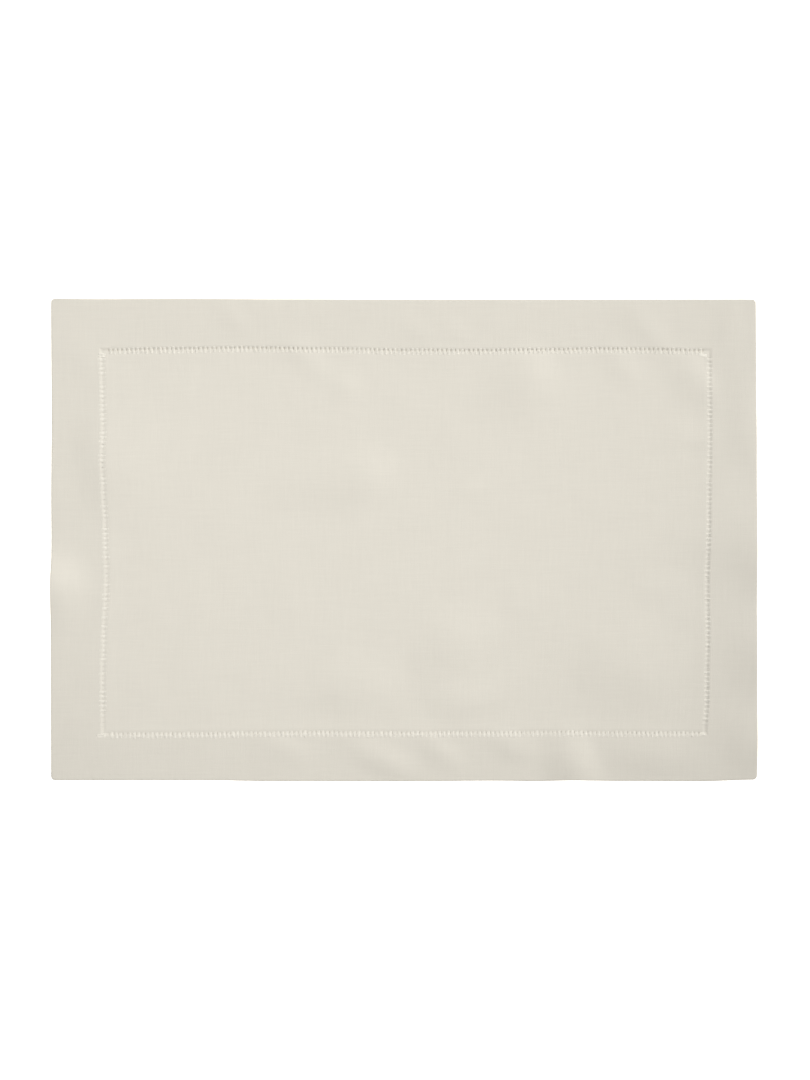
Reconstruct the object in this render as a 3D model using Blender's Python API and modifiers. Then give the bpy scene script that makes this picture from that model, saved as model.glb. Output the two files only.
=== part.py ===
"""Hemstitched linen placemat, lying face up.

Metres, +Z up, the long side along X. The origin is the middle of the outline, on the surface
that the cloth lies on. One closed sheet: a thin field, a thicker turned hem round it, and the
shallow channel of the hemstitch row between them. Soft puckers lift the sheet a little.
"""

import math

import bmesh
import bpy

MM = 0.001

# Finished size, a common 13 by 19 inch placemat.
LENGTH = 483.0
WIDTH = 330.0
CORNER_RADIUS = 3.0

# Thickness of the pressed cloth, in mm.
FIELD_THICKNESS = 1.3
HEM_THICKNESS = 1.9
ROW_THICKNESS = 1.0
EDGE_ROUNDING = 0.4

# The hemstitch row: how far in from each edge its middle runs, and the channel's section.
ROW_INSET = {"left": 35.6, "right": 33.0, "top": 34.5, "bottom": 33.0}
ROW_FLOOR = 1.6
ROW_SLOPE = 0.8

# Widest spacing of the grid's lines.
HEM_CELL = 12.0
FIELD_CELL = 10.0

# How far each edge strays outwards from the straight outline: mm along the edge, mm out.
EDGE_WANDER = {
    "left": ((-165, 0.1), (-110, 0.2), (-35, 0.3), (-8, -0.2), (30, 0.0), (85, -0.3), (165, 0.1)),
    "right": ((-165, 0.1), (-135, 0.4), (-60, 0.1), (60, 0.0), (110, -0.4), (165, -0.7)),
    "top": ((-241, 0.4), (-210, 0.0), (-150, 0.2), (-85, -0.2), (0, -0.4), (241, -0.3)),
    "bottom": ((-241, -0.6), (-130, -0.6), (-95, 0.0), (10, 0.1), (60, -0.3), (90, 0.0),
               (118, -0.7), (145, -0.1), (205, 0.1), (241, -1.0)),
}

# How far the hemstitch row strays outwards from its straight line: mm along it, mm out.
ROW_WANDER = {
    "left": ((-130, 0.2), (-90, 0.3), (-68, -0.5), (-28, -2.3), (10, -1.4), (35, -0.4),
             (55, 0.7), (75, -0.1), (96, 0.3), (130, 1.1)),
    "right": ((-130, -2.2), (-110, -1.0), (-90, -0.9), (-68, -0.3), (-28, -0.8), (14, 0.4),
              (75, 1.1), (130, 0.6)),
    "top": ((-205, -0.6), (-160, 0.3), (-108, 1.0), (-54, 0.4), (0, -0.7), (55, -0.7),
            (100, -0.2), (138, 0.4), (165, 0.0), (205, -0.8)),
    "bottom": ((-205, 0.7), (-136, 0.6), (-105, 0.0), (-54, -0.4), (-20, 0.0), (80, -0.2),
               (110, -0.6), (140, -0.2), (205, 0.0)),
}

# Soft puckers: middle in mm, half length and half width in mm, turn in degrees, lift in mm, and
# how far the crest is shifted to one side of the middle, as a share of the half width.
PUCKERS = (
    {"x": -246, "y": -34, "long": 38, "wide": 42, "turn": -34, "lift": 3.4, "crest": 0.0},
    {"x": -172, "y": 54, "long": 62, "wide": 58, "turn": 98, "lift": 1.8, "crest": 0.45},
    {"x": -56, "y": 37, "long": 31, "wide": 60, "turn": -80, "lift": 1.7, "crest": 0.4},
    {"x": 62, "y": 98, "long": 34, "wide": 54, "turn": -52, "lift": 2.3, "crest": 0.45},
    {"x": 34, "y": -71, "long": 31, "wide": 44, "turn": -50, "lift": 1.6, "crest": 0.0},
    {"x": 152, "y": -80, "long": 58, "wide": 50, "turn": 8, "lift": 1.6, "crest": -0.1},
    {"x": 112, "y": -156, "long": 34, "wide": 28, "turn": -70, "lift": 2.8, "crest": 0.2},
    {"x": 246, "y": 2, "long": 50, "wide": 85, "turn": 95, "lift": 2.5, "crest": 0.0},
    {"x": 244, "y": -18, "long": 36, "wide": 26, "turn": 105, "lift": 1.0, "crest": 0.0},
    {"x": 242, "y": -80, "long": 38, "wide": 38, "turn": 110, "lift": 2.2, "crest": -0.2},
    {"x": 240, "y": -140, "long": 34, "wide": 30, "turn": 120, "lift": 1.5, "crest": 0.0},
    {"x": 168, "y": -142, "long": 52, "wide": 25, "turn": 0, "lift": 1.1, "crest": -0.2},
)

LINEN_HEX = "E2DDD1"
LINEN_ROUGHNESS = 0.9


def linear_colour(hex_code):
    """sRGB hex to the linear RGBA that a shader takes."""
    channels = [int(hex_code[i:i + 2], 16) / 255 for i in (0, 2, 4)]
    return [c / 12.92 if c <= 0.04045 else ((c + 0.055) / 1.055) ** 2.4 for c in channels] + [1]


def clear_scene():
    for obj in list(bpy.data.objects):
        bpy.data.objects.remove(obj)


def linen_material():
    material = bpy.data.materials.new("linen")
    material.use_nodes = True
    shader = material.node_tree.nodes["Principled BSDF"]
    shader.inputs["Base Color"].default_value = linear_colour(LINEN_HEX)
    shader.inputs["Roughness"].default_value = LINEN_ROUGHNESS
    shader.inputs["Metallic"].default_value = 0.0
    return material


def smooth(t):
    """0 to 1 with a level start and end."""
    t = min(max(t, 0.0), 1.0)
    return t * t * (3 - 2 * t)


def along(table, at):
    """The value of a table of (place, value) rows at a place, with soft turns between the rows."""
    if at <= table[0][0]:
        return table[0][1]
    for (start, low), (end, high) in zip(table, table[1:]):
        if at <= end:
            return low + (high - low) * smooth((at - start) / (end - start))
    return table[-1][1]


def spaced(start, end, widest):
    """Evenly spaced places from start up to, but without, end, no further apart than widest."""
    count = math.ceil((end - start) / widest - 1e-6)
    return [start + (end - start) * i / count for i in range(count)]


def grid_lines(half, low_inset, high_inset):
    """The grid's lines across one direction: corner, hem, channel, field, channel, hem, corner."""
    floor, lip = ROW_FLOOR / 2, ROW_FLOOR / 2 + ROW_SLOPE

    def edge_to_row(inset):
        corner = spaced(0, CORNER_RADIUS, CORNER_RADIUS / 2)
        hem = spaced(CORNER_RADIUS, inset - lip, HEM_CELL)
        return corner + hem + [inset - lip, inset - floor, inset + floor]

    low = [-half + inset for inset in edge_to_row(low_inset)]
    high = [half - inset for inset in edge_to_row(high_inset)]
    return low + spaced(-half + low_inset + lip, half - high_inset - lip, FIELD_CELL) + [
        half - high_inset - lip] + high[::-1]


def outside_row(x, y):
    """Distance outwards from the middle of the hemstitch row, less than 0 in the field."""
    return max(
        -LENGTH / 2 + ROW_INSET["left"] - x,
        x - LENGTH / 2 + ROW_INSET["right"],
        -WIDTH / 2 + ROW_INSET["bottom"] - y,
        y - WIDTH / 2 + ROW_INSET["top"],
    )


def thickness(x, y):
    """Thickness of the sheet at a place of the straight grid."""
    out = outside_row(x, y)
    depth = smooth((abs(out) - ROW_FLOOR / 2) / ROW_SLOPE)
    beside = HEM_THICKNESS if out > 0 else FIELD_THICKNESS
    return ROW_THICKNESS + (beside - ROW_THICKNESS) * depth


def round_corner(x, y):
    """Moves a point of the square corner patch into the corner's arc."""
    a = abs(x) - (LENGTH / 2 - CORNER_RADIUS)
    b = abs(y) - (WIDTH / 2 - CORNER_RADIUS)
    if a <= 0 or b <= 0:
        return x, y
    pull = 1 - max(a, b) / math.hypot(a, b)
    return x - math.copysign(a * pull, x), y - math.copysign(b * pull, y)


def stray(across, place, half, low_side, high_side):
    """How far a point moves across: a blend of what the edges and rows nearest to it do."""
    stops = (
        (-half, -along(EDGE_WANDER[low_side], place)),
        (-half + ROW_INSET[low_side], -along(ROW_WANDER[low_side], place)),
        (0, 0),
        (half - ROW_INSET[high_side], along(ROW_WANDER[high_side], place)),
        (half, along(EDGE_WANDER[high_side], place)),
    )
    return along(stops, across)


def lift(x, y):
    """Height of the cloth above the surface: 0 but for the puckers."""
    height = 0.0
    for pucker in PUCKERS:
        turn = math.radians(pucker["turn"])
        dx, dy = x - pucker["x"], y - pucker["y"]
        u = (dx * math.cos(turn) + dy * math.sin(turn)) / pucker["long"]
        v = (dy * math.cos(turn) - dx * math.sin(turn)) / pucker["wide"]
        v = min(max(v, -1.0), 1.0)
        v = (v - pucker["crest"]) / (1 - pucker["crest"] * v)
        height += pucker["lift"] * max(0.0, 1 - u * u - v * v) ** 3
    return height


def make_cloth(name, material, collection):
    columns = grid_lines(LENGTH / 2, ROW_INSET["left"], ROW_INSET["right"])
    lines = grid_lines(WIDTH / 2, ROW_INSET["bottom"], ROW_INSET["top"])
    mesh = bpy.data.meshes.new(name)
    sheet = bmesh.new()
    bmesh.ops.create_grid(sheet, x_segments=len(columns) - 1, y_segments=len(lines) - 1, size=1)
    weight = sheet.verts.layers.deform.verify()
    for vert in sheet.verts:
        # The new grid runs from -1 to 1, so a vertex's place gives its column and its line.
        x = columns[round((vert.co.x + 1) / 2 * (len(columns) - 1))]
        y = lines[round((vert.co.y + 1) / 2 * (len(lines) - 1))]
        vert[weight][0] = thickness(x, y) / HEM_THICKNESS
        x, y = round_corner(x, y)
        x, y = (
            x + stray(x, y, LENGTH / 2, "left", "right"),
            y + stray(y, x, WIDTH / 2, "bottom", "top"),
        )
        vert.co = (x * MM, y * MM, lift(x, y) * MM)
    sheet.to_mesh(mesh)
    sheet.free()
    mesh.materials.append(material)

    cloth = bpy.data.objects.new(name, mesh)
    collection.objects.link(cloth)
    layers = cloth.vertex_groups.new(name="layers")

    # The grid is the underside, and the cloth's thickness stands on it.
    shell = cloth.modifiers.new("thickness", "SOLIDIFY")
    shell.thickness = HEM_THICKNESS * MM
    shell.offset = 1
    shell.vertex_group = layers.name

    fold = cloth.modifiers.new("turned edge", "BEVEL")
    fold.width = EDGE_ROUNDING * MM
    fold.segments = 1
    fold.limit_method = "ANGLE"
    fold.angle_limit = math.radians(60)
    return cloth


def main():
    clear_scene()
    collection = bpy.data.collections.new("placemat")
    bpy.context.scene.collection.children.link(collection)
    make_cloth("placemat_cloth", linen_material(), collection)


main()
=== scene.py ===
# %% [markdown]
# # A hemstitched linen placemat
#
# The real thing is one panel of plain-woven linen. Its hem is turned twice to the back on all four
# sides and mitred at the corners. A row of hemstitching runs all round at the hem's inner edge: a
# ladder of small holes between bars of threads, each bar wrapped with sewing thread.
#
# The lesson builds it the way a maker does, flat first: a sheet with straight edges is folded, and
# given its holes and stitches while everything is still straight. Only then is the finished work
# laid down, by one function that moves every point of the cloth and of the thread alike, so that
# edges bow, the stitch row strays, and soft puckers lift the cloth.

import math

import bmesh
import bpy
import numpy as np
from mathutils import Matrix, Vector


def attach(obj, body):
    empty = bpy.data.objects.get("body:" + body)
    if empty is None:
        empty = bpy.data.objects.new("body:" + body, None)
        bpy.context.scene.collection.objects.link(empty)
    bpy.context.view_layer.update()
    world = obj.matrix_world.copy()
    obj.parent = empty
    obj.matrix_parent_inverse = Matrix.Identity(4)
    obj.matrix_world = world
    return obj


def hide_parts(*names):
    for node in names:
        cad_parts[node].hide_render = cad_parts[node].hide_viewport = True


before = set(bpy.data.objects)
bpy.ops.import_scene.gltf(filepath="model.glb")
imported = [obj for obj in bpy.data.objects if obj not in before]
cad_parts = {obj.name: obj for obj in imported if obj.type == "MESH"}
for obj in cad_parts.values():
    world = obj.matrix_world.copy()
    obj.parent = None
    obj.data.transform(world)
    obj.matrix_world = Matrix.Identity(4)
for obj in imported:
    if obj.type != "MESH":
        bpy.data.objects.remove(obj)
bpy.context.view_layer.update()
CLOTH_NODE = "placemat_cloth"
MM = 0.001

# %% [markdown]
# ## The view
#
# The mat is seen from straight above. The picture is taken as 810 by 1080 pixels, and the mat's
# long side covers 705.6 of them, which gives the scale. A long lens, far off, keeps the sides
# nearly parallel, as in the real view. An orthographic camera would do so too, but with a real
# lens the other views look as the eye sees them. The camera's sensor width goes with the long
# side of the picture, here its height.

# %% Camera
LENGTH = 483.0  # mm, the finished mat
WIDTH = 330.0
PICTURE_PX = (810, 1080)
MAT_LENGTH_PX = 705.6
MAT_MIDDLE_X_PX = 404.1
LENS_MM = 85.0
SENSOR_MM = 36.0
SEEN_TO = 20.0  # m


def add_object(name, data):
    """A new object with this data, in the scene."""
    obj = bpy.data.objects.new(name, data)
    bpy.context.scene.collection.objects.link(obj)
    return obj


mm_per_px = LENGTH / MAT_LENGTH_PX
distance = PICTURE_PX[1] * mm_per_px * LENS_MM / SENSOR_MM
camera = add_object("camera", bpy.data.cameras.new("camera"))
camera.data.lens = LENS_MM
camera.data.sensor_width = SENSOR_MM
camera.data.clip_end = SEEN_TO
camera.location = ((PICTURE_PX[0] / 2 - MAT_MIDDLE_X_PX) * mm_per_px * MM, 0.0, distance * MM)
bpy.context.scene.camera = camera
bpy.context.scene.view_settings.view_transform = "Standard"
print(f"one pixel is {mm_per_px:.3f} mm, and the camera is {distance:.0f} mm up")

# %% [markdown]
# ## Sizes of the cloth
#
# Table linen of about 190 g per square metre is some 0.3 mm thick when pressed. A hem turned
# twice is three layers near the stitches and two towards the edge, where the soft fold keeps it
# just as high. No two sides of handmade work are quite alike: the hem, the stitches' spacing, the
# holes and the bars all differ a little, so the four sides share one table. They are named as they
# lie in the picture, and run anticlockwise, each from its own corner to the next.

# %% Cloth and hem sizes, in mm
CLOTH = 0.28  # thickness of one layer
LAYER = 0.30  # from the middle of one layer to the middle of the next
CORNER_RADIUS = 3.0
TURNED_UNDER = 10.0  # the raw edge folded in, hidden inside the hem

# A side's name, its hem's width, its stitches, the width of a hole, the length of a bar, how far
# out the bars' middle lies, and the share of their height that pressing has left them.
SIDE_COLUMNS = ("name", "inset", "stitches", "hole", "bar", "lean", "proud")
SIDES = [dict(zip(SIDE_COLUMNS, row)) for row in (
    ("bottom", 33.0, 135, 0.4, 4.2, 0.75, 0.7),
    ("right", 33.0, 83, 0.15, 3.8, -0.4, 0.7),
    ("top", 34.5, 135, 0.85, 4.2, -0.9, 1.0),
    ("left", 35.6, 83, 0.2, 5.0, 0.0, 0.63),
)]
HOLE_SEED = 3
HOLE_RUN = 8  # stitches over which the holes slowly widen or narrow
HOLE_SLOW = (0.7, 1.1)  # least and most of that, as a share of the width
HOLE_QUICK = (0.88, 1.12)  # least and most of the change from hole to hole
INSET = {side["name"]: side["inset"] for side in SIDES}

# The row's four corners, anticlockwise from the lower left.
row_low = (-LENGTH / 2 + INSET["left"], -WIDTH / 2 + INSET["bottom"])
row_high = (LENGTH / 2 - INSET["right"], WIDTH / 2 - INSET["top"])
row_corners = [
    np.array(row_low), np.array((row_high[0], row_low[1])),
    np.array(row_high), np.array((row_low[0], row_high[1])),
]
uneven = np.random.default_rng(HOLE_SEED)
for index, side in enumerate(SIDES):
    run = row_corners[(index + 1) % 4] - row_corners[index]
    side["start"] = row_corners[index]
    side["length"] = float(np.hypot(*run))
    side["along"] = run / side["length"]
    side["out"] = np.array((side["along"][1], -side["along"][0]))
    side["pitch"] = side["length"] / side["stitches"]
    places = np.arange(side["stitches"])
    stops = np.arange(0, side["stitches"] + HOLE_RUN, HOLE_RUN)
    slow = np.interp(places, stops, uneven.uniform(*HOLE_SLOW, len(stops)))
    side["holes"] = side["hole"] * slow * uneven.uniform(*HOLE_QUICK, len(places))
    print(f"{side['name']}: {side['stitches']} stitches, {side['pitch']:.2f} mm apart")

# %% [markdown]
# ## How the mat lies
#
# Linen is never quite true. The edges and the stitch row stray by a millimetre or two, and soft
# puckers, from half a millimetre to more than four high, stay in the cloth after ironing. Each
# stray is a short table of places along a side, joined by soft curves. Each pucker is a smooth
# oval mound that ends level, with its crest in the middle or shifted to one side. Between them
# there are only faint waves. The larger puckers are those of the CAD solid, and the smaller ones
# are added here. Modelling them as mounds with a place, a size and a turn keeps every one of them
# adjustable by hand, which a noise texture would not.

# %% Strays of the edges and the row
# Each entry is (mm along the side, mm outwards).
EDGE_WANDER = {
    "left": ((-165, 0.1), (-110, 0.2), (-35, 0.3), (-8, -0.2), (30, 0.0), (85, -0.3), (165, 0.1)),
    "right": ((-165, 0.1), (-135, 0.4), (-60, 0.1), (60, 0.0), (110, -0.4), (165, -0.7)),
    "top": ((-241, 0.4), (-210, 0.0), (-150, 0.2), (-85, -0.2), (0, -0.4), (241, -0.3)),
    "bottom": ((-241, -0.6), (-130, -0.6), (-95, 0.0), (10, 0.1), (60, -0.3), (90, 0.0),
               (118, -0.7), (145, -0.1), (205, 0.1), (241, -1.0)),
}
ROW_WANDER = {
    "left": ((-130, 0.2), (-90, 0.3), (-68, -0.5), (-28, -2.3), (10, -1.4), (35, -0.4),
             (55, 0.7), (75, -0.1), (96, 0.3), (130, 1.1)),
    "right": ((-130, -2.2), (-110, -1.0), (-90, -0.9), (-68, -0.3), (-28, -0.8), (14, 0.4),
              (75, 1.1), (130, 0.6)),
    "top": ((-205, -0.6), (-160, 0.3), (-108, 1.0), (-54, 0.4), (0, -0.7), (55, -0.7),
            (100, -0.2), (138, 0.4), (165, 0.0), (205, -0.8)),
    "bottom": ((-205, 0.7), (-136, 0.6), (-105, 0.0), (-54, -0.4), (-20, 0.0), (80, -0.2),
               (110, -0.6), (140, -0.2), (205, 0.0)),
}


def soft_steps(places, values, at):
    """Values between places, each step level at its ends. A point may have its own values."""
    places = np.asarray(places, float)
    step = np.clip(np.searchsorted(places, at, side="right") - 1, 0, len(places) - 2)
    t = np.clip((at - places[step]) / (places[step + 1] - places[step]), 0, 1)
    values = np.broadcast_to(np.asarray(values, float).T, (len(at), len(places)))
    low, high = (values[np.arange(len(at)), step + end] for end in (0, 1))
    return low + (high - low) * t * t * (3 - 2 * t)


def stray(across, place, half, low_side, high_side):
    """How far points move across: a blend of what the edges and rows nearest to them do."""
    stops = (-half, -half + INSET[low_side], 0, half - INSET[high_side], half)
    tables = (EDGE_WANDER[low_side], ROW_WANDER[low_side], None,
              ROW_WANDER[high_side], EDGE_WANDER[high_side])
    signs = (-1, -1, 0, 1, 1)
    moves = np.array([
        sign * soft_steps(*np.transpose(table), place) if table else np.zeros(len(place))
        for sign, table in zip(signs, tables)
    ])
    return soft_steps(stops, moves, across)


farthest = max(abs(out) for table in ROW_WANDER.values() for _, out in table)
print("the row strays by up to", farthest, "mm")

# %% Puckers
# Each row is x and y of its middle, half length and half width in mm, turn in degrees, lift in
# mm, and how far its crest is shifted to one side, as a share of the half width.
LARGE_PUCKERS = (
    (-246, -34, 38, 42, -34, 3.4, 0.0),
    (-172, 54, 62, 58, 98, 1.8, 0.45),
    (-56, 37, 31, 60, -80, 1.7, 0.4),
    (62, 98, 34, 54, -52, 2.3, 0.45),
    (34, -71, 31, 44, -50, 1.6, 0.0),
    (152, -80, 58, 50, 8, 1.6, -0.1),
    (112, -156, 34, 28, -70, 2.8, 0.2),
    (246, 2, 50, 85, 95, 2.5, 0.0),
    (244, -18, 36, 26, 105, 1.0, 0.0),
    (242, -80, 38, 38, 110, 2.2, -0.2),
    (240, -140, 34, 30, 120, 1.5, 0.0),
    (168, -142, 52, 25, 0, 1.1, -0.2),
)
SMALL_PUCKERS = (
    (-243, -30, 26, 24, -40, 1.4, 0.1),
    (-118, 150, 25, 14, -45, 0.5, 0.2),
    (-68, 124, 32, 16, -40, 0.6, 0.0),
    (-44, 100, 17, 20, -50, 0.7, 0.3),
    (44, 32, 22, 12, 20, 0.5, 0.2),
    (145, 119, 25, 16, -50, 0.5, 0.2),
    (8, 147, 20, 13, -30, 0.4, -0.2),
    (33, 145, 20, 13, -30, 0.4, 0.0),
    (164, 142, 36, 15, -50, 0.7, 0.2),
    (190, 107, 32, 24, -55, 1.4, 0.4),
    (222, 148, 30, 16, 85, 0.7, 0.0),
    (198, 72, 25, 12, 0, 0.4, -0.3),
    (229, 88, 50, 17, 92, 0.7, -0.2),
    (176, -36, 32, 16, 20, 0.5, 0.2),
    (-34, -97, 50, 34, -4, 1.3, -0.1),
    (46, -106, 44, 20, 15, 0.8, -0.2),
    (-80, -147, 30, 14, -20, 0.6, 0.3),
    (-14, -151, 36, 16, -20, 1.3, 0.0),
    (24, -148, 30, 15, -35, 0.9, 0.2),
    (74, -141, 28, 15, -20, 0.9, 0.0),
)
MOUND_SOFTNESS = 3  # the higher, the longer a mound's foot runs out
print(len(LARGE_PUCKERS), "large puckers and", len(SMALL_PUCKERS), "small ones")

# %% Faint waves all over
UNEVEN_SEED = 7
UNEVEN_WAVES = 30
UNEVEN_SPAN = (28.0, 95.0)  # mm, the shortest and the longest wave
UNEVEN_LIFT = 0.10  # mm, what they usually come to


def unevenness(x, y):
    """What ironed linen keeps: a sum of sines in random directions, level where it would dip."""
    random = np.random.default_rng(UNEVEN_SEED)
    total = np.zeros(len(x))
    for _ in range(UNEVEN_WAVES):
        span, turn, start = random.uniform(*UNEVEN_SPAN), *random.uniform(0, 2 * math.pi, 2)
        total += np.sin(2 * math.pi * (x * math.cos(turn) + y * math.sin(turn)) / span + start)
    return np.maximum(0, UNEVEN_LIFT * total / math.sqrt(UNEVEN_WAVES / 2))


waves = unevenness(*np.mgrid[-LENGTH / 2:LENGTH / 2:50j, -WIDTH / 2:WIDTH / 2:50j].reshape(2, -1))
print(f"the highest of the faint waves is {waves.max():.2f} mm")


# %% Lay the work on the table
def lift(x, y):
    """How far the work is lifted off the table."""
    height = unevenness(x, y)
    for middle_x, middle_y, long, wide, degrees, rise, crest in LARGE_PUCKERS + SMALL_PUCKERS:
        turn = math.radians(degrees)
        dx, dy = x - middle_x, y - middle_y
        u = (dx * math.cos(turn) + dy * math.sin(turn)) / long
        v = np.clip((dy * math.cos(turn) - dx * math.sin(turn)) / wide, -1, 1)
        v = (v - crest) / (1 - crest * v)
        height = height + rise * np.maximum(0.0, 1 - u * u - v * v) ** MOUND_SOFTNESS
    return height


def lay(points):
    """Moves points of the straight, flat work, in mm, to where they lie on the table."""
    x, y, z = np.asarray(points, float).T
    across = stray(x, y, LENGTH / 2, "left", "right")
    up = stray(y, x, WIDTH / 2, "bottom", "top")
    return np.column_stack((x + across, y + up, z + lift(x, y)))


def points_of(mesh):
    """The mesh's points, in mm."""
    points = np.empty(len(mesh.vertices) * 3, np.float32)
    mesh.vertices.foreach_get("co", points)
    return points.reshape(-1, 3) / MM


def set_points(mesh, points):
    """Sets the mesh's points, which are given in mm."""
    mesh.vertices.foreach_set("co", (points * MM).astype(np.float32).ravel())
    mesh.update()


PROBES = {"middle": 0, "left edge": -LENGTH / 2, "right edge": LENGTH / 2}
for name, x in PROBES.items():
    print(f"the {name} is laid at", np.round(lay([(x, 0, 0)])[0], 2).tolist(), "mm")

# %% [markdown]
# ## The section through the hem
#
# Followed from the field outwards, the cloth climbs over the stitch row onto the hem, runs to the
# edge, folds under, comes back along the table, and folds in once more just short of the holes.
# Its raw edge ends inside. So all the cloth round the field is a set of closed loops, one inside
# or above the other, and a loop is told by how far out it runs and how high. Near the row that
# distance counts from the row, and near the edge from the edge, because the hem's width differs
# from side to side.

# %% Heights of the layers and of the stitch row
z_back = CLOTH / 2
z_under = z_back + LAYER
z_top = z_under + LAYER

# The stitches pull the cloth down into a groove: (mm out from the row, mm above the flat field).
ROW_GROOVE = ((-11.0, 0.0), (-2.5, 0.2), (-0.5, 0.04), (1.9, z_top - z_back))


def out_from_row(x, y):
    """How far outside the stitch row a flat place is, in mm, and less than 0 in the field."""
    low, high = row_corners[0], row_corners[2]
    return np.maximum.reduce([low[0] - x, x - high[0], low[1] - y, y - high[1]])


def row_height(out):
    """Height of the top layer's middle, by the distance out from the row."""
    return z_back + soft_steps(*np.transpose(ROW_GROOVE), np.atleast_1d(out))


print(f"the middles of the hem's layers are {z_back:.2f}, {z_under:.2f} and {z_top:.2f} mm high")

# %% Section of the hem
# A loop is (share of the hem's width, mm added to it, height in mm).
INNER_FOLD = 1.6  # mm out, where the hem folds in just short of the holes
FOLD_STEPS = 6
CLIMB_LOOPS = (1.1, 1.5, 1.9)  # mm out, where the cloth climbs onto the hem
LEVEL_LOOP = 2.4  # mm out, where the hem's top is level
TOP_SHARES = (0.14, 0.26, 0.38, 0.5, 0.62, 0.74, 0.84)  # of the hem's width
BACK_SHARES = (0.8, 0.6, 0.4, 0.2)
BESIDE_EDGE = 1.6  # mm in from the edge, the loops next to its fold
BESIDE_FOLD = 3.2  # mm out, the loops next to the inner fold
TUCK_LOOP = 6.0  # mm out, about halfway along the part that is turned in


def fold(share, tip, toward, radius, middle, first, last):
    """Loops round a fold, by the angle about its middle. toward is 1 if its tip is outermost."""
    angles = np.linspace(math.radians(first), math.radians(last), FOLD_STEPS + 1)
    return [
        (share, tip - toward * radius * (1 - math.cos(angle)), middle + radius * math.sin(angle))
        for angle in angles
    ]


edge_fold = fold(1, -CLOTH / 2, 1, LAYER, z_under, 90, -90)
inner_fold = fold(0, INNER_FOLD + CLOTH / 2, -1, LAYER / 2, (z_back + z_under) / 2, -90, 90)
hem_top = [(0, out, float(row_height(out)[0])) for out in CLIMB_LOOPS]
hem_top += [(0, LEVEL_LOOP, z_top)] + [(share, 0, z_top) for share in TOP_SHARES]
hem_top += [(1, -CORNER_RADIUS, z_top), (1, -BESIDE_EDGE, z_top)]
hem_back = [(1, -BESIDE_EDGE, z_back), (1, -CORNER_RADIUS, z_back)]
hem_back += [(share, 0, z_back) for share in BACK_SHARES] + [(0, BESIDE_FOLD, z_back)]
hem_under = [(0, out, z_under) for out in (BESIDE_FOLD, TUCK_LOOP, INNER_FOLD + TURNED_UNDER)]
hem_section = hem_top + edge_fold + hem_back + inner_fold + hem_under
print(f"{len(hem_section)} loops from the row round the hem to the raw edge")

# %% [markdown]
# ## Stations along a side
#
# Along each loop the points stand at the stitches: one between every two bars, so that a hole can
# open there. The loops that cross the holes need three points to a stitch instead, the two sides
# of the hole and the middle of the bar. Each point carries a key, its place counted in stitches,
# and neighbouring loops are joined by walking round both and stepping to the lower key. Where the
# keys agree that gives a quad, and where one loop has more points it gives triangles, so loops of
# different density join without a gap. The first stitch at each corner stays closed. Blender's
# own Bridge Edge Loops pairs points by how near they are, and can't tell where a hole has to stay.

# %% Stations
# Kinds of loop: field and hem have a point in the middle of each stitch, lip has one at each bar
# too, and band has both sides of each hole in place of its middle.
SIDE_KEYS = 1000  # from one side's first key to the next side's
HEM_CORNER = (0, 0.1, 0.25, 0.5, 1)  # extra points near a corner, in stitches
ROW_CORNER = (0, 0.5, 1)


def stations(side, kind, opening=0.0):
    """(key, mm along, opens a hole) on one side, from its first corner to short of the next."""
    count, pitch = side["stitches"], side["pitch"]
    corner = HEM_CORNER if kind == "hem" else ROW_CORNER
    found = [(key, key * pitch, False) for key in corner]
    for stitch in range(1, count - 1):
        key = stitch + 0.5
        if kind == "band":
            half = side["holes"][stitch] / 2 * opening
            found += [(key, key * pitch - half, True), (key, key * pitch + half, False)]
        else:
            found.append((key, key * pitch, False))
        if kind in ("band", "lip") and stitch < count - 2:
            found.append((stitch + 1, (stitch + 1) * pitch, False))
    return found + [(count - key, (count - key) * pitch, False) for key in corner[:0:-1]]


print("points in a loop of the hem:", sum(len(stations(side, "hem")) for side in SIDES))

# %% Where a station lies
CORNER_REACH = 3.4  # mm along the side over which a corner squeezes the row's own loops
REACH_PER_MM = 3.0  # and how much further for each mm that a loop runs outside the row


def out_of(side, share, offset):
    """How far outside the row a loop runs on this side, in mm."""
    return share * side["inset"] + offset


def round_corner(x, y):
    """Moves a point of the square corner patch into the corner's arc."""
    a = abs(x) - (LENGTH / 2 - CORNER_RADIUS)
    b = abs(y) - (WIDTH / 2 - CORNER_RADIUS)
    if a <= 0 or b <= 0:
        return x, y
    pull = 1 - max(a, b) / math.hypot(a, b)
    return x - math.copysign(a * pull, x), y - math.copysign(b * pull, y)


def place_on_side(index, at, share, offset):
    """Flat place of a station: the nearer a corner, the more it moves with the corner's mitre."""
    side, before, after = SIDES[index], SIDES[index - 1], SIDES[(index + 1) % 4]
    out = out_of(side, share, offset)
    reach = CORNER_REACH + REACH_PER_MM * max(0.0, out)
    from_start = max(0.0, 1 - at / reach) * out_of(before, share, offset)
    from_end = max(0.0, 1 - (side["length"] - at) / reach) * out_of(after, share, offset)
    spot = side["start"] + side["along"] * (at - from_start + from_end) + side["out"] * out
    return round_corner(*spot)


print("the lower left corner is at", np.round(place_on_side(0, 0, 1, 0), 2).tolist(), "mm")


# %% Loops, and the faces between two of them
def loop_of(cloth, kind, share, offset, height, opening=0.0, corner_rise=0.0):
    """A closed loop of new points, as (key, vertex, opens). The first point is also the last."""
    loop = []
    for index, side in enumerate(SIDES):
        for key, at, opens in stations(side, kind, opening):
            x, y = place_on_side(index, at, share, offset)
            rise = corner_rise if key == 0 else 0.0
            vert = cloth.verts.new((x * MM, y * MM, (height + rise) * MM))
            loop.append((index * SIDE_KEYS + key, vert, opens))
    return loop + [(len(SIDES) * SIDE_KEYS, loop[0][1], False)]


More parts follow.
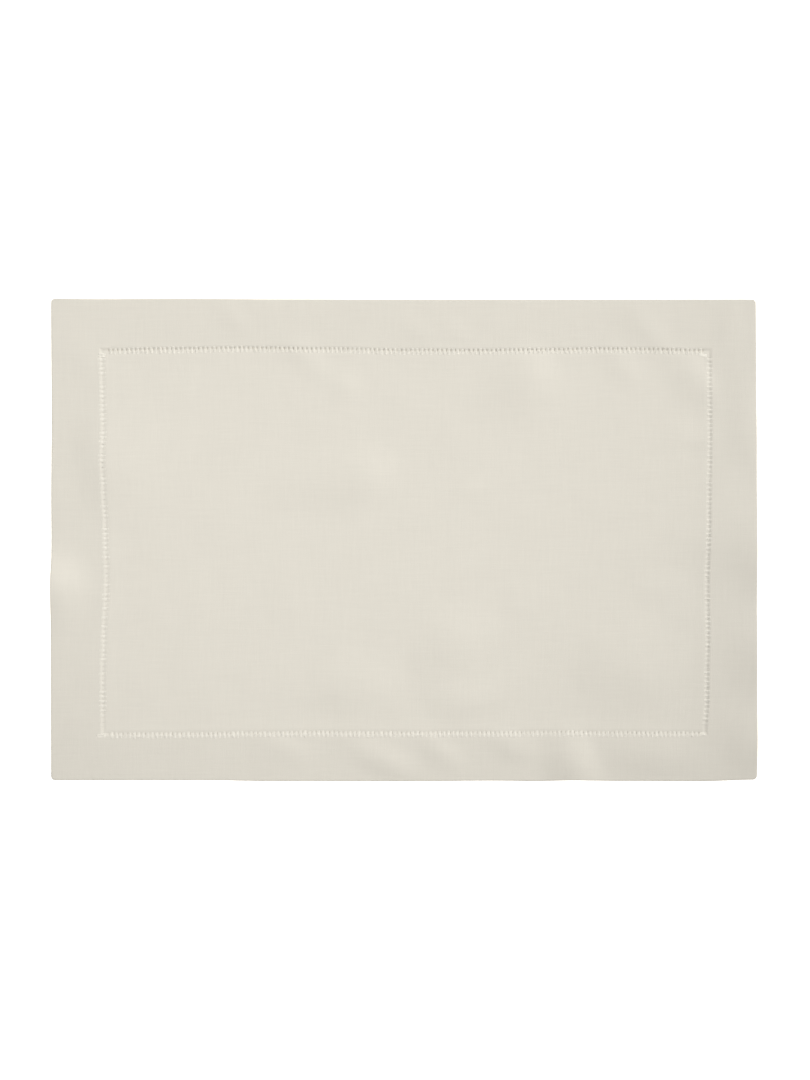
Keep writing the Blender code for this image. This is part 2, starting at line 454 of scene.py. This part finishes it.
def bridge(cloth, first, second):
    """Faces between two loops. A face that would use a stretch marked as open is left out."""
    i = j = 0
    while i < len(first) - 1 or j < len(second) - 1:
        key_i = first[i + 1][0] if i < len(first) - 1 else math.inf
        key_j = second[j + 1][0] if j < len(second) - 1 else math.inf
        step_i, step_j = key_i <= key_j, key_j <= key_i
        corners = [first[i][1], second[j][1]]
        corners += [second[j + 1][1]] if step_j else []
        corners += [first[i + 1][1]] if step_i else []
        if not (step_i and first[i][2] or step_j and second[j][2]):
            cloth.faces.new(corners)
        i, j = i + step_i, j + step_j


widest = max(side["holes"].max() for side in SIDES)
print(f"the widest hole is {widest:.2f} mm, in stitches of {SIDES[2]['pitch']:.2f} mm")

# %% [markdown]
# ## The cloth
#
# The sheet starts as the middle surface of the linen, without thickness. The field is a grid whose
# lines run from stitch to stitch, and the loops of the row and the hem are added outside it, one
# by one. A Solidify modifier then gives all layers their thickness at once. Making the holes as
# gaps in the mesh, rather than as a dark pattern, lets the light fall through them and gives each
# its depth. A cloth simulation could lay the sheet too, but the folded hem would have to be
# pressed flat by it, and the puckers would lie where it puts them.

# %% The field
FIELD_LOOP = -1.9  # mm out from the row, so inside it, where the field ends


def field_grid(cloth):
    """The field's faces and, as its outermost loop, the points that the row's band joins."""
    # The bottom side, which runs along x, gives the columns, and the right one gives the lines.
    columns, lines = (
        [place_on_side(axis, at, 0, FIELD_LOOP)[axis]
         for _, at, _ in stations(SIDES[axis], "field")] + [row_high[axis] + FIELD_LOOP]
        for axis in (0, 1))
    grid = []
    for y in lines:
        heights = row_height(out_from_row(np.array(columns), np.full(len(columns), y)))
        grid.append([cloth.verts.new((x * MM, y * MM, z * MM)) for x, z in zip(columns, heights)])
    for low, high in zip(grid, grid[1:]):
        for corner in range(len(columns) - 1):
            cloth.faces.new((low[corner], low[corner + 1], high[corner + 1], high[corner]))
    right, left = [line[-1] for line in grid], [line[0] for line in grid]
    rim = [grid[0][:-1], right[:-1], grid[-1][:0:-1], left[:0:-1]]
    loop = []
    for index, (side, verts) in enumerate(zip(SIDES, rim)):
        keys = [key for key, _, _ in stations(side, "field")]
        loop += [(index * SIDE_KEYS + key, vert, False) for key, vert in zip(keys, verts)]
    return loop + [(len(SIDES) * SIDE_KEYS, loop[0][1], False)]


field_size = [round(b - a + 2 * FIELD_LOOP, 1) for a, b in zip(row_low, row_high)]
print("the field is", field_size[0], "by", field_size[1], "mm")

# %% The ladder of holes
HOLE_LENGTH = 1.8  # mm, across the row
HOLE_RINGS = (0.92, 0.78, 0.42)  # rings through half a hole, from its tip, in half lengths
FIRST_RING = -1.6  # the band's first ring, still in the field, in the same measure


def row_band(cloth, inside):
    """The ladder of holes, from the field's loop out to the loop that the hem joins."""
    rings = [*(-ring for ring in HOLE_RINGS), 0.0, *HOLE_RINGS[::-1]]
    band = [(ring, "band") for ring in rings]
    for ring, kind in [(FIRST_RING, "field"), (-1, "lip"), *band, (1, "lip")]:
        out = ring * HOLE_LENGTH / 2
        opening = math.sqrt(max(0.0, 1 - ring * ring))
        outside = loop_of(cloth, kind, 0, out, float(row_height(out)[0]), opening)
        bridge(cloth, inside, outside)
        inside = outside
    return inside


print("holes all round:", sum(side["stitches"] - 2 for side in SIDES))

# %% The whole middle surface
MITRE_DEPTH = 0.14  # mm that the seam at each corner of the back is sunk into the cloth
SAME_HEIGHT = 1e-6  # mm, to tell the loops that lie at the back


def make_cloth():
    """The sheet's middle surface, with its field, its row and its hem in one mesh."""
    mesh = bpy.data.meshes.new("linen_cloth")
    cloth = bmesh.new()
    inside = row_band(cloth, field_grid(cloth))
    for share, offset, height in hem_section:
        rise = MITRE_DEPTH if height <= z_back + SAME_HEIGHT else 0.0
        outside = loop_of(cloth, "hem", share, offset, height, corner_rise=rise)
        bridge(cloth, inside, outside)
        inside = outside
    bmesh.ops.recalc_face_normals(cloth, faces=cloth.faces)
    cloth.faces.ensure_lookup_table()
    if cloth.faces[0].normal.z < 0:
        bmesh.ops.reverse_faces(cloth, faces=cloth.faces)
    cloth.to_mesh(mesh)
    cloth.free()
    return add_object("linen_cloth", mesh)


linen_cloth = make_cloth()
print("faces of the middle surface:", len(linen_cloth.data.polygons))

# %% Give it thickness, then lay it
SHARP_ANGLE = 55.0  # degrees: the holes' rims stay crisp, and all folds are smooth


def make_plain(obj):
    """Replaces an object's modifiers by the plain mesh that they give."""
    graph = bpy.context.evaluated_depsgraph_get()
    plain = bpy.data.meshes.new_from_object(obj.evaluated_get(graph))
    plain.name = obj.name
    obj.modifiers.clear()
    obj.data = plain


thickness = linen_cloth.modifiers.new("cloth thickness", "SOLIDIFY")
thickness.thickness = CLOTH * MM
thickness.offset = 0
thickness.use_even_offset = True
make_plain(linen_cloth)
mesh = linen_cloth.data
mesh.shade_smooth()
mesh.set_sharp_from_angle(angle=math.radians(SHARP_ANGLE))
flat_points = points_of(mesh)
hem_share = np.clip(out_from_row(*flat_points.T[:2]) / INNER_FOLD, 0, 1).astype(np.float32)
mesh.attributes.new("flat", "FLOAT_VECTOR", "POINT").data.foreach_set("vector", flat_points.ravel())
mesh.attributes.new("hem", "FLOAT", "POINT").data.foreach_set("value", hem_share)
set_points(mesh, lay(flat_points))
print("triangles of the cloth:", sum(len(face.vertices) - 2 for face in mesh.polygons))

# %% [markdown]
# ## The hemstitching
#
# A hemstitcher draws some threads out of the cloth along the row, and whips sewing thread round
# the threads that are left, which gathers them into bars. Each bar is a short coil, and there is
# one between every two holes, four hundred and more in all. That is work for Geometry Nodes: the
# tree below puts one coil on each point of a line, turned to the line's direction, and a little
# unlike its neighbours. The same tree makes the closing stitches in the corners, as wider coils
# on their own. A bar has about a hundred faces, four to each short stretch of thread. That is a
# lot for something so small, but with three to a stretch the thread looks broken from close by.


# %% One helper for all node trees
def add_node(tree, kind, links=None, **settings):
    """A new node. Its inputs are set, or linked to an output or to a node's first output."""
    node = tree.nodes.new(kind)
    for name, value in settings.items():
        setattr(node, name, value)
    for socket, value in (links or {}).items():
        value = value.outputs[0] if isinstance(value, bpy.types.Node) else value
        if isinstance(value, bpy.types.NodeSocket):
            tree.links.new(value, node.inputs[socket])
        else:
            node.inputs[socket].default_value = value
    return node


# %% One coil of thread
THREAD_SIDES = 4  # of the thread's own section


def add_coil(tree, given):
    """Nodes for one coil: a spiral laid on its side, flattened, and made as thick as thread."""
    # It is turned by an eighth, so that four points a turn make the corners of a bar's section.
    spiral = add_node(tree, "GeometryNodeCurveSpiral", {
        "Resolution": given["Points per turn"], "Rotations": given["Turns"],
        "Start Radius": 0.5, "End Radius": 0.5, "Height": 1.0})
    centred = add_node(tree, "GeometryNodeTransform", {
        "Geometry": spiral, "Translation": (0, 0, -0.5), "Rotation": (0, 0, math.radians(45))})
    on_side = add_node(tree, "GeometryNodeTransform", {
        "Geometry": centred, "Rotation": (math.radians(90), math.radians(90), 0)})
    size = add_node(tree, "ShaderNodeCombineXYZ", {
        "X": given["Coil width"], "Y": given["Coil length"], "Z": given["Coil height"]})
    coil = add_node(tree, "GeometryNodeTransform", {"Geometry": on_side, "Scale": size})
    length = add_node(tree, "GeometryNodeSplineParameter")
    rail = add_node(tree, "GeometryNodeStoreNamedAttribute", {
        "Geometry": coil, "Name": "strand", "Value": length.outputs["Length"]})
    half = add_node(tree, "ShaderNodeMath", {0: given["Thread"], 1: 0.5}, operation="MULTIPLY")
    section = add_node(tree, "GeometryNodeCurvePrimitiveCircle", {
        "Resolution": THREAD_SIDES, "Radius": half}, mode="RADIUS")
    around = add_node(tree, "GeometryNodeSplineParameter")
    ring = add_node(tree, "GeometryNodeStoreNamedAttribute", {
        "Geometry": section, "Name": "around", "Value": around.outputs["Factor"]})
    return add_node(tree, "GeometryNodeCurveToMesh", {
        "Curve": rail, "Profile Curve": ring, "Fill Caps": True})


# %% Places for the coils
def add_places(tree, given):
    """Nodes for the coils' points and directions. A line keeps its number of coils as coils."""
    curve = add_node(tree, "GeometryNodeMeshToCurve", {"Mesh": given["Line"]})
    tangent = add_node(tree, "GeometryNodeInputTangent")
    aimed = add_node(tree, "GeometryNodeStoreNamedAttribute", {
        "Geometry": curve, "Name": "direction", "Value": tangent}, data_type="FLOAT_VECTOR")
    count = add_node(tree, "GeometryNodeInputNamedAttribute", {"Name": "coils"}, data_type="INT")
    points = add_node(tree, "GeometryNodeResampleCurve", {
        "Curve": aimed, "Count": count.outputs["Attribute"]}, mode="COUNT")
    direction = add_node(tree, "GeometryNodeInputNamedAttribute", {
        "Name": "direction"}, data_type="FLOAT_VECTOR")
    facing = add_node(tree, "FunctionNodeAlignRotationToVector", {
        "Vector": direction.outputs["Attribute"]}, axis="X", pivot_axis="Z")
    return points, facing


# %% No two coils quite alike
SIZE_SEED = 11.0  # added to the seed, so that the sizes are drawn apart from the slants


def add_variety(tree, given, facing):
    """Nodes that slant and scale each coil a little, as its rotation and its scale."""
    least = add_node(tree, "ShaderNodeMath", {0: 0.0, 1: given["Slant"]}, operation="SUBTRACT")
    slant = add_node(tree, "FunctionNodeRandomValue", {
        2: least, 3: given["Slant"], "Seed": given["Seed"]})
    turn = add_node(tree, "ShaderNodeCombineXYZ", {"Z": slant.outputs[1]})
    turned = add_node(tree, "FunctionNodeRotateRotation", {
        "Rotation": facing, "Rotate By": turn}, rotation_space="LOCAL")
    small = add_node(tree, "ShaderNodeMath", {0: 1.0, 1: given["Unevenness"]}, operation="SUBTRACT")
    large = add_node(tree, "ShaderNodeMath", {0: 1.0, 1: given["Unevenness"]}, operation="ADD")
    size_seed = add_node(tree, "ShaderNodeMath", {0: given["Seed"], 1: SIZE_SEED}, operation="ADD")
    scale = add_node(tree, "FunctionNodeRandomValue", {
        0: small, 1: large, "Seed": size_seed}, data_type="FLOAT_VECTOR")
    return turned, scale


# %% The tree that whips thread along a line
# Each input is its name, its kind and a usual value, with lengths in metres.
WHIPPING_INPUTS = (
    ("Line", "Geometry", None), ("Thread", "Float", 0.0004), ("Turns", "Float", 3.0),
    ("Points per turn", "Int", 5), ("Coil width", "Float", 0.001),
    ("Coil height", "Float", 0.0006), ("Coil length", "Float", 0.002),
    ("Unevenness", "Float", 0.1), ("Slant", "Float", 0.1), ("Seed", "Int", 1),
    ("Material", "Material", None),
)


def whipping_tree():
    """The whole tree, which sets one coil on each place of a line."""
    tree = bpy.data.node_groups.new("whipped thread", "GeometryNodeTree")
    for name, kind, value in WHIPPING_INPUTS:
        kind = "NodeSocket" + kind
        socket = tree.interface.new_socket(name=name, in_out="INPUT", socket_type=kind)
        if value is not None:
            socket.default_value = value
    tree.interface.new_socket(name="Thread", in_out="OUTPUT", socket_type="NodeSocketGeometry")
    given = add_node(tree, "NodeGroupInput").outputs
    strand = add_coil(tree, given)
    points, facing = add_places(tree, given)
    rotation, scale = add_variety(tree, given, facing)
    coils = add_node(tree, "GeometryNodeInstanceOnPoints", {
        "Points": points, "Instance": strand, "Rotation": rotation, "Scale": scale})
    real = add_node(tree, "GeometryNodeRealizeInstances", {"Geometry": coils})
    finish = add_node(tree, "GeometryNodeSetMaterial", {
        "Geometry": real, "Material": given["Material"]})
    output = add_node(tree, "NodeGroupOutput")
    tree.links.new(finish.outputs[0], output.inputs[0])
    return tree


thread_tree = whipping_tree()
print("nodes in the tree:", len(thread_tree.nodes))

# %% [markdown]
# ## Materials
#
# The cloth is plain-woven flax, washed and ironed smooth, and so a dull warm white without gloss.
# Its weave is drawn from sums and waves in real millimetres, so it stays sharp at any distance
# and needs no picture. It follows the cloth's own flat places, which bend with its edges. Yarns
# of flax are uneven, so each warp and weft yarn thickens and changes its shade slowly along its
# length. The shades differ by a part or two in a hundred, and at its true 0.6 mm the weave isn't
# seen from where the picture is taken, as it isn't in the real view.


# %% Colours and shaders
def linear(hex_code):
    """The linear colour that a shader takes, from an sRGB hex code."""
    channels = [int(hex_code[i:i + 2], 16) / 255 for i in (0, 2, 4)]
    return [c / 12.92 if c <= 0.04045 else ((c + 0.055) / 1.055) ** 2.4 for c in channels] + [1]


def new_material(name, constants):
    """A new material whose shader has these constants, with its node tree and that shader."""
    material = bpy.data.materials.new(name)
    material.use_nodes = True
    shader = material.node_tree.nodes["Principled BSDF"]
    for socket, value in constants.items():
        shader.inputs[socket].default_value = value
    return material, material.node_tree, shader


print("sRGB grey 128 is", round(linear("808080")[0], 3), "to a shader")

# %% Woven linen: places counted in yarns
YARN = 0.6  # mm from yarn to yarn, 16 to 17 a centimetre
DRIFT = 0.25  # mm that a yarn strays to each side
DRIFT_LENGTH = 9.0  # mm over which it does so

linen, tree, shader = new_material("woven linen", {
    "Roughness": 0.88, "Specular IOR Level": 0.25, "Sheen Weight": 0.12, "Sheen Roughness": 0.6})
flat = add_node(tree, "ShaderNodeAttribute", attribute_name="flat")
drift = add_node(tree, "ShaderNodeTexNoise", {
    "Vector": flat.outputs["Vector"], "Scale": 1 / DRIFT_LENGTH})
wander = add_node(tree, "ShaderNodeVectorMath", {
    0: drift.outputs["Color"], 1: (2 * DRIFT,) * 3, 2: flat.outputs["Vector"]},
    operation="MULTIPLY_ADD")
yarns = add_node(tree, "ShaderNodeVectorMath", {0: wander, "Scale": 1 / YARN}, operation="SCALE")
place = add_node(tree, "ShaderNodeSeparateXYZ", {0: yarns})
print("yarns across the mat:", round(LENGTH / YARN), "by", round(WIDTH / YARN))

# %% Woven linen: warp and weft
YARN_RELIEF = 0.05  # mm
ROUNDNESS = 1.15  # how far a yarn's sides fall off, as a share of that relief
SLUB = 0.8  # how much a yarn thickens and thins, in the same share
SLUB_LENGTH = 22.0  # mm along a yarn, over which it does so
YARN_STEP = 7.31  # from one yarn to the next in the slubs' noise, so that no two are alike
FIBRE_RELIEF = 0.5  # the same share for the streaks of its fibres
FIBRES_ACROSS = 5.0  # streaks across one yarn
WARP_START, WEFT_START = 0.5, 1.5  # so that one yarn is up where the other dips

heights, shades = [], []
for across, along, start in (("X", "Y", WARP_START), ("Y", "X", WEFT_START)):
    number = add_node(tree, "ShaderNodeMath", {0: place.outputs[across]}, operation="FLOOR")
    # A yarn is round across, and along it dips under every second yarn that it meets.
    side = add_node(tree, "ShaderNodeMath", {0: place.outputs[across]}, operation="FRACT")
    centred = add_node(tree, "ShaderNodeMath", {
        0: side, 1: 2.0, 2: -1.0}, operation="MULTIPLY_ADD")
    square = add_node(tree, "ShaderNodeMath", {0: centred, 1: centred}, operation="MULTIPLY")
    beat = add_node(tree, "ShaderNodeMath", {0: place.outputs[along], 1: number}, operation="ADD")
    phase = add_node(tree, "ShaderNodeMath", {
        0: beat, 1: math.pi, 2: -start * math.pi}, operation="MULTIPLY_ADD")
    dip = add_node(tree, "ShaderNodeMath", {0: phase}, operation="COSINE")
    height = add_node(tree, "ShaderNodeMath", {
        0: square, 1: -ROUNDNESS, 2: dip}, operation="MULTIPLY_ADD")
    # Each yarn thickens and thins slowly along its own length, and its fibres lie along it.
    spread = add_node(tree, "ShaderNodeMath", {0: number, 1: YARN_STEP}, operation="MULTIPLY")
    slow = add_node(tree, "ShaderNodeMath", {
        0: place.outputs[along], 1: YARN / SLUB_LENGTH}, operation="MULTIPLY")
    spot = add_node(tree, "ShaderNodeCombineXYZ", {"X": spread, "Y": slow})
    slub = add_node(tree, "ShaderNodeTexNoise", {
        "Vector": spot, "Scale": 1.0, "Detail": 1.0}, noise_dimensions="2D")
    fine = add_node(tree, "ShaderNodeMath", {
        0: place.outputs[across], 1: FIBRES_ACROSS}, operation="MULTIPLY")
    streak = add_node(tree, "ShaderNodeCombineXYZ", {"X": fine, "Y": beat})
    fibres = add_node(tree, "ShaderNodeTexNoise", {
        "Vector": streak, "Scale": 1.0, "Detail": 1.0}, noise_dimensions="2D")
    thicker = add_node(tree, "ShaderNodeMath", {
        0: slub.outputs["Fac"], 1: SLUB, 2: height}, operation="MULTIPLY_ADD")
    heights.append(add_node(tree, "ShaderNodeMath", {
        0: fibres.outputs["Fac"], 1: FIBRE_RELIEF, 2: thicker}, operation="MULTIPLY_ADD"))
    shades.append(slub)
print("nodes for warp and weft:", len(tree.nodes))

# %% Woven linen: shades and relief
LINEN_SHADES = ("DCD7CB", "E0DBCF", "E4DFD3")
GAP_SHADE = 0.94  # the small gaps between yarns are in shade
GAP_HEIGHTS = (0.2, 1.3)  # from the full shade to none, in the measure of a yarn's height
CLOUDS_PER_MM = 0.03  # broad cloudy patches, as the washing leaves
CLOUD_SHARE = 0.35  # of the change in shade, and the rest is the yarns'
HEM_SHADE = 0.98  # painted shade: the hem's colour is made a little darker, because its layers let less of the white table shine through

on_top = add_node(tree, "ShaderNodeMath", {0: heights[0], 1: heights[1]}, operation="GREATER_THAN")
thick = add_node(tree, "ShaderNodeMath", {0: heights[0], 1: heights[1]}, operation="MAXIMUM")
shade = add_node(tree, "ShaderNodeMix", {
    "Factor": on_top, "A": shades[1].outputs["Fac"], "B": shades[0].outputs["Fac"]})
gaps = add_node(tree, "ShaderNodeMapRange", {
    "Value": thick, "From Min": GAP_HEIGHTS[0], "From Max": GAP_HEIGHTS[1],
    "To Min": GAP_SHADE, "To Max": 1.0})
clouds = add_node(tree, "ShaderNodeTexNoise", {
    "Vector": flat.outputs["Vector"], "Scale": CLOUDS_PER_MM, "Detail": 3.0})
both = add_node(tree, "ShaderNodeMix", {
    "Factor": CLOUD_SHARE, "A": shade.outputs["Result"], "B": clouds.outputs["Fac"]})
ramp = add_node(tree, "ShaderNodeValToRGB", {"Fac": both.outputs["Result"]})
tones = ramp.color_ramp.elements
tones.new(0.5)
for tone, hex_code in zip(tones, LINEN_SHADES):
    tone.color = linear(hex_code)
bump = add_node(tree, "ShaderNodeBump", {"Distance": YARN_RELIEF * MM, "Height": thick})
# Painted shade: the colour is made darker over the hem and in the gaps between the yarns.
hem = add_node(tree, "ShaderNodeAttribute", attribute_name="hem")
hem_painted_shade = add_node(tree, "ShaderNodeMapRange", {
    "Value": hem.outputs["Fac"], "To Min": 1.0, "To Max": HEM_SHADE})
light = add_node(tree, "ShaderNodeMath", {0: hem_painted_shade, 1: gaps}, operation="MULTIPLY")
colour = add_node(tree, "ShaderNodeVectorMath", {
    0: ramp.outputs["Color"], "Scale": light}, operation="SCALE")
tree.links.new(colour.outputs[0], shader.inputs["Base Color"])
tree.links.new(bump.outputs[0], shader.inputs["Normal"])
linen_cloth.data.materials.append(linen)
print("nodes in woven linen:", len(tree.nodes))

# %% [markdown]
# ## The sewing thread
#
# The thread is three plies of fine cotton, twisted hard, and so a little whiter and glossier than
# the linen, with slanting ridges. Three plies could be modelled and wound round each other, but
# at half a millimetre a wave that runs round and along the thread does as well: it gives the
# ridges as a bump, and darkens the grooves between them as painted shade. The tree stores both
# ways on the mesh that it makes, as the attributes around and strand.

# %% Sewing thread
THREAD_HEX = "F3EFE4"
TWIST = 1.1  # mm along the thread for one turn of its plies
PLIES = 3
GROOVE_SHADE = 0.95  # painted shade: the thread's colour is darker in the grooves between the plies
PLY_RELIEF = 0.025  # mm
PLY_STRENGTH = 0.6

thread, tree, shader = new_material("sewing thread", {
    "Roughness": 0.6, "Specular IOR Level": 0.3, "Sheen Weight": 0.1})
strand = add_node(tree, "ShaderNodeAttribute", attribute_name="strand")
around = add_node(tree, "ShaderNodeAttribute", attribute_name="around")
turns = add_node(tree, "ShaderNodeMath", {
    0: strand.outputs["Fac"], 1: 1 / (TWIST * MM)}, operation="MULTIPLY")
ply = add_node(tree, "ShaderNodeMath", {0: around.outputs["Fac"], 1: turns}, operation="ADD")
phase = add_node(tree, "ShaderNodeMath", {0: ply, 1: 2 * math.pi * PLIES}, operation="MULTIPLY")
twist = add_node(tree, "ShaderNodeMath", {0: phase}, operation="SINE")
# Painted shade: the colour darkens in the grooves between the plies.
groove_painted_shade = add_node(tree, "ShaderNodeMapRange", {
    "Value": twist, "From Min": -1.0, "From Max": 1.0, "To Min": GROOVE_SHADE, "To Max": 1.0})
colour = add_node(tree, "ShaderNodeVectorMath", {
    0: linear(THREAD_HEX)[:3], "Scale": groove_painted_shade}, operation="SCALE")
bump = add_node(tree, "ShaderNodeBump", {
    "Strength": PLY_STRENGTH, "Distance": PLY_RELIEF * MM, "Height": twist})
tree.links.new(colour.outputs[0], shader.inputs["Base Color"])
tree.links.new(bump.outputs[0], shader.inputs["Normal"])
print("nodes in sewing thread:", len(tree.nodes))

# %% [markdown]
# ## Stitching along the row and in the corners
#
# The bars stand one pitch apart. In each corner the thread is fastened off with a small pad of
# close stitches, and no two pads are alike. Both are made straight and flat by the tree, set on
# the groove's own height, and then laid with the function that has laid the cloth, so they stay on
# it wherever it strays or lifts.

# %% From a line to laid stitches
THREAD = 0.55  # mm thick
SUNK = 0.04  # mm that the stitches are pulled into the cloth
PRESSED = 0.12  # share of its height that a coil keeps below its middle, where it is pressed flat


def whip(name, ends, coils, size, inputs, proud=1.0):
    """Coils along a straight line, laid on the cloth, as one plain mesh. Their size is in mm."""
    mesh = bpy.data.meshes.new(name)
    mesh.from_pydata([(x * MM, y * MM, 0) for x, y in ends], [(0, 1)], [])
    mesh.attributes.new("coils", "INT", "POINT").data.foreach_set("value", (coils, coils))
    obj = add_object(name, mesh)
    whipped = obj.modifiers.new("whipped thread", "NODES")
    whipped.node_group = thread_tree
    sockets = {item.name: item.identifier for item in thread_tree.interface.items_tree
               if item.in_out == "INPUT"}
    width, length, height = (value * MM for value in size)
    inputs = {**inputs, "Thread": THREAD * MM, "Material": thread, "Coil width": width,
              "Coil length": length, "Coil height": height}
    for socket, value in inputs.items():
        whipped[sockets[socket]] = value
    make_plain(obj)
    obj.data.shade_smooth()
    x, y, z = points_of(obj.data).T
    z = np.where(z < 0, z * PRESSED, z * proud) - SUNK + row_height(out_from_row(x, y))
    set_points(obj.data, lay(np.column_stack((x, y, z))))
    return obj


print("the thread is", THREAD, "mm thick, and the cloth", CLOTH, "mm")

# %% The row
BAR_WIDTH = 2.1  # mm, of the coil as an oval, which its four corners cut down to 0.7 of this
BAR_HEIGHT = 0.4
TURN = 0.68  # mm along a bar, from turn to turn
BAR_POINTS = 4  # to a turn
BAR_UNEVENNESS = 0.15
BAR_SLANT = 0.13
BAR_SEED = 5
FREE_ENDS = 2  # pitches from a corner to the nearest bar

row_stitches = []
for index, side in enumerate(SIDES):
    lean = side["out"] * side["lean"]
    first = side["start"] + side["along"] * FREE_ENDS * side["pitch"] + lean
    last = side["start"] + side["along"] * (side["stitches"] - FREE_ENDS) * side["pitch"] + lean
    bars = side["stitches"] - 2 * FREE_ENDS + 1
    size = (BAR_WIDTH, side["bar"], BAR_HEIGHT)
    row_stitches.append(whip(f"hemstitching_{side['name']}", (first, last), bars, size, {
        "Turns": float(round(side["bar"] / TURN)), "Points per turn": BAR_POINTS,
        "Unevenness": BAR_UNEVENNESS, "Slant": BAR_SLANT, "Seed": BAR_SEED + index},
        side["proud"]))
    print(f"{side['name']}: {bars} bars, {len(row_stitches[-1].data.polygons)} faces")

# %% Corner pads
# One for each of row_corners: its shift from there and its width, length and height in mm, its
# turn in degrees, and its turns of thread.
CORNER_PADS = (
    ((-1.2, -1.3), (7.4, 2.8, 0.3), 4, 4),
    ((-2.2, -0.6), (4.0, 2.6, 0.2), 10, 5),
    ((-4.7, -3.3), (6.4, 2.0, 0.4), -3, 6),
    ((0.2, -3.5), (5.8, 2.6, 0.6), -3, 6),
)
PAD_POINTS = 8  # to a turn
PAD_UNEVENNESS = 0.05
PAD_SLANT = 0.1
PAD_SEED = 20

pad_stitches = []
for number, (shift, size, degrees, turns) in enumerate(CORNER_PADS):
    turn = math.radians(degrees)
    # A pad is one coil, at the start of a short line that gives its direction.
    start = row_corners[number] + np.array(shift)
    end = start + (math.cos(turn), math.sin(turn))
    pad_stitches.append(whip(f"corner_pad_{number + 1}", (start, end), 1, size, {
        "Turns": float(turns), "Points per turn": PAD_POINTS, "Unevenness": PAD_UNEVENNESS,
        "Slant": PAD_SLANT, "Seed": PAD_SEED + number}))
    print(f"corner pad {number + 1}: {len(pad_stitches[-1].data.polygons)} faces")

# %% [markdown]
# ## Table and light
#
# The mat lies on a plain white sheet of matt paper that the picture shows as pure white, without
# a shadow. So the sheet glows, as a light table does, except under the mat. The paper's own colour
# is a darker, warmer grey, which only shows there: painted shade, seen through the holes. It could
# be lit until it is white instead, but the linen would then be too bright. A broad lamp hangs a
# little to the upper left, and its beam falls off towards the lower right. A soft raking light
# from the upper right draws the puckers and the stitches.

# %% The white sheet
SHEET_SIZE = 6.0  # m
SHEET_GAP = 0.06  # mm below the cloth
GLOW = 1.0
GLOW_UNDER = 0.03  # the glow left under the mat, painted light for what thin linen lets through to the sheet under it
GLOW_FROM = 0.97  # where the glow starts, as a share of the mat's half length and half width
# Painted shade: the paper is a darker, warmer grey than white paper, for the shade and the linen's
# warm light in the holes. Where it glows, it shows as white.
PAPER_AND_PAINTED_SHADE_HEX = "CFC8BA"
PAPER_SHADE = 0.93  # of the darkest fibres
GRAINS_PER_M = 300.0

bpy.ops.mesh.primitive_plane_add(size=SHEET_SIZE, location=(0, 0, -SHEET_GAP * MM))
floor = bpy.context.object
floor.name = "white sheet"
paper, tree, shader = new_material("white paper", {
    "Roughness": 0.9, "Specular IOR Level": 0.1, "Emission Color": (1, 1, 1, 1)})
spot = add_node(tree, "ShaderNodeTexCoord")
grain = add_node(tree, "ShaderNodeTexNoise", {
    "Vector": spot.outputs["Object"], "Scale": GRAINS_PER_M})
fibres = add_node(tree, "ShaderNodeMapRange", {
    "Value": grain.outputs["Fac"], "To Min": PAPER_SHADE, "To Max": 1.0})
tinted = add_node(tree, "ShaderNodeVectorMath", {
    0: linear(PAPER_AND_PAINTED_SHADE_HEX)[:3], "Scale": fibres}, operation="SCALE")
share = add_node(tree, "ShaderNodeVectorMath", {
    0: spot.outputs["Object"], 1: (LENGTH / 2 * MM, WIDTH / 2 * MM, 1)}, operation="DIVIDE")
size = add_node(tree, "ShaderNodeVectorMath", {0: share}, operation="ABSOLUTE")
part = add_node(tree, "ShaderNodeSeparateXYZ", {0: size})
largest = add_node(tree, "ShaderNodeMath", {
    0: part.outputs["X"], 1: part.outputs["Y"]}, operation="MAXIMUM")
# Painted shade: the glow stops under the mat, so that the sheet stays dark there.
beyond_painted_shade = add_node(tree, "ShaderNodeMath", {0: largest, 1: GLOW_FROM}, operation="GREATER_THAN")
glow = add_node(tree, "ShaderNodeMapRange", {
    "Value": beyond_painted_shade, "To Min": GLOW_UNDER, "To Max": GLOW})
tree.links.new(tinted.outputs[0], shader.inputs["Base Color"])
tree.links.new(glow.outputs[0], shader.inputs["Emission Strength"])
floor.data.materials.append(paper)
print("the sheet lies", SHEET_GAP, "mm below the cloth")

# %% Lights
ROOM_LIGHT = 0.12
LAMP_PLACE = (-0.06, 0.15, 2.2)  # m
LAMP_AIM = (-0.06, 0.15, 0)
LAMP_POWER = 111.0  # W
LAMP_BEAM = 39.0  # degrees
LAMP_RADIUS = 0.12  # m
RAKING_PLACE = (1.0, 0.8, 1.0)  # only its direction counts
RAKING_POWER = 2.02  # W per square metre
RAKING_SPREAD = 25  # degrees

world = bpy.data.worlds.new("room")
world.use_nodes = True
background = world.node_tree.nodes["Background"].inputs
background["Color"].default_value = (1, 1, 1, 1)
background["Strength"].default_value = ROOM_LIGHT
bpy.context.scene.world = world


def add_light(name, kind, place, aim, **settings):
    """A light at one place, turned towards another."""
    light = add_object(name, bpy.data.lights.new(name, kind))
    for key, value in settings.items():
        setattr(light.data, key, value)
    light.location = place
    light.rotation_euler = (Vector(aim) - light.location).to_track_quat("-Z", "Y").to_euler()


add_light("overhead lamp", "SPOT", LAMP_PLACE, LAMP_AIM, energy=LAMP_POWER, spot_blend=1.0,
          spot_size=math.radians(LAMP_BEAM), shadow_soft_size=LAMP_RADIUS)
add_light("raking light", "SUN", RAKING_PLACE, (0, 0, 0), energy=RAKING_POWER,
          angle=math.radians(RAKING_SPREAD))
print("lights:", [light.name for light in bpy.data.lights])

# %% [markdown]
# ## Hand the pieces over
#
# The cloth, the hemstitching and the corner pads are attached to the root body. The cloth stands
# for the CAD solid, which is hidden.

for piece in (linen_cloth, *row_stitches, *pad_stitches):
    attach(piece, "root")
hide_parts(CLOTH_NODE)
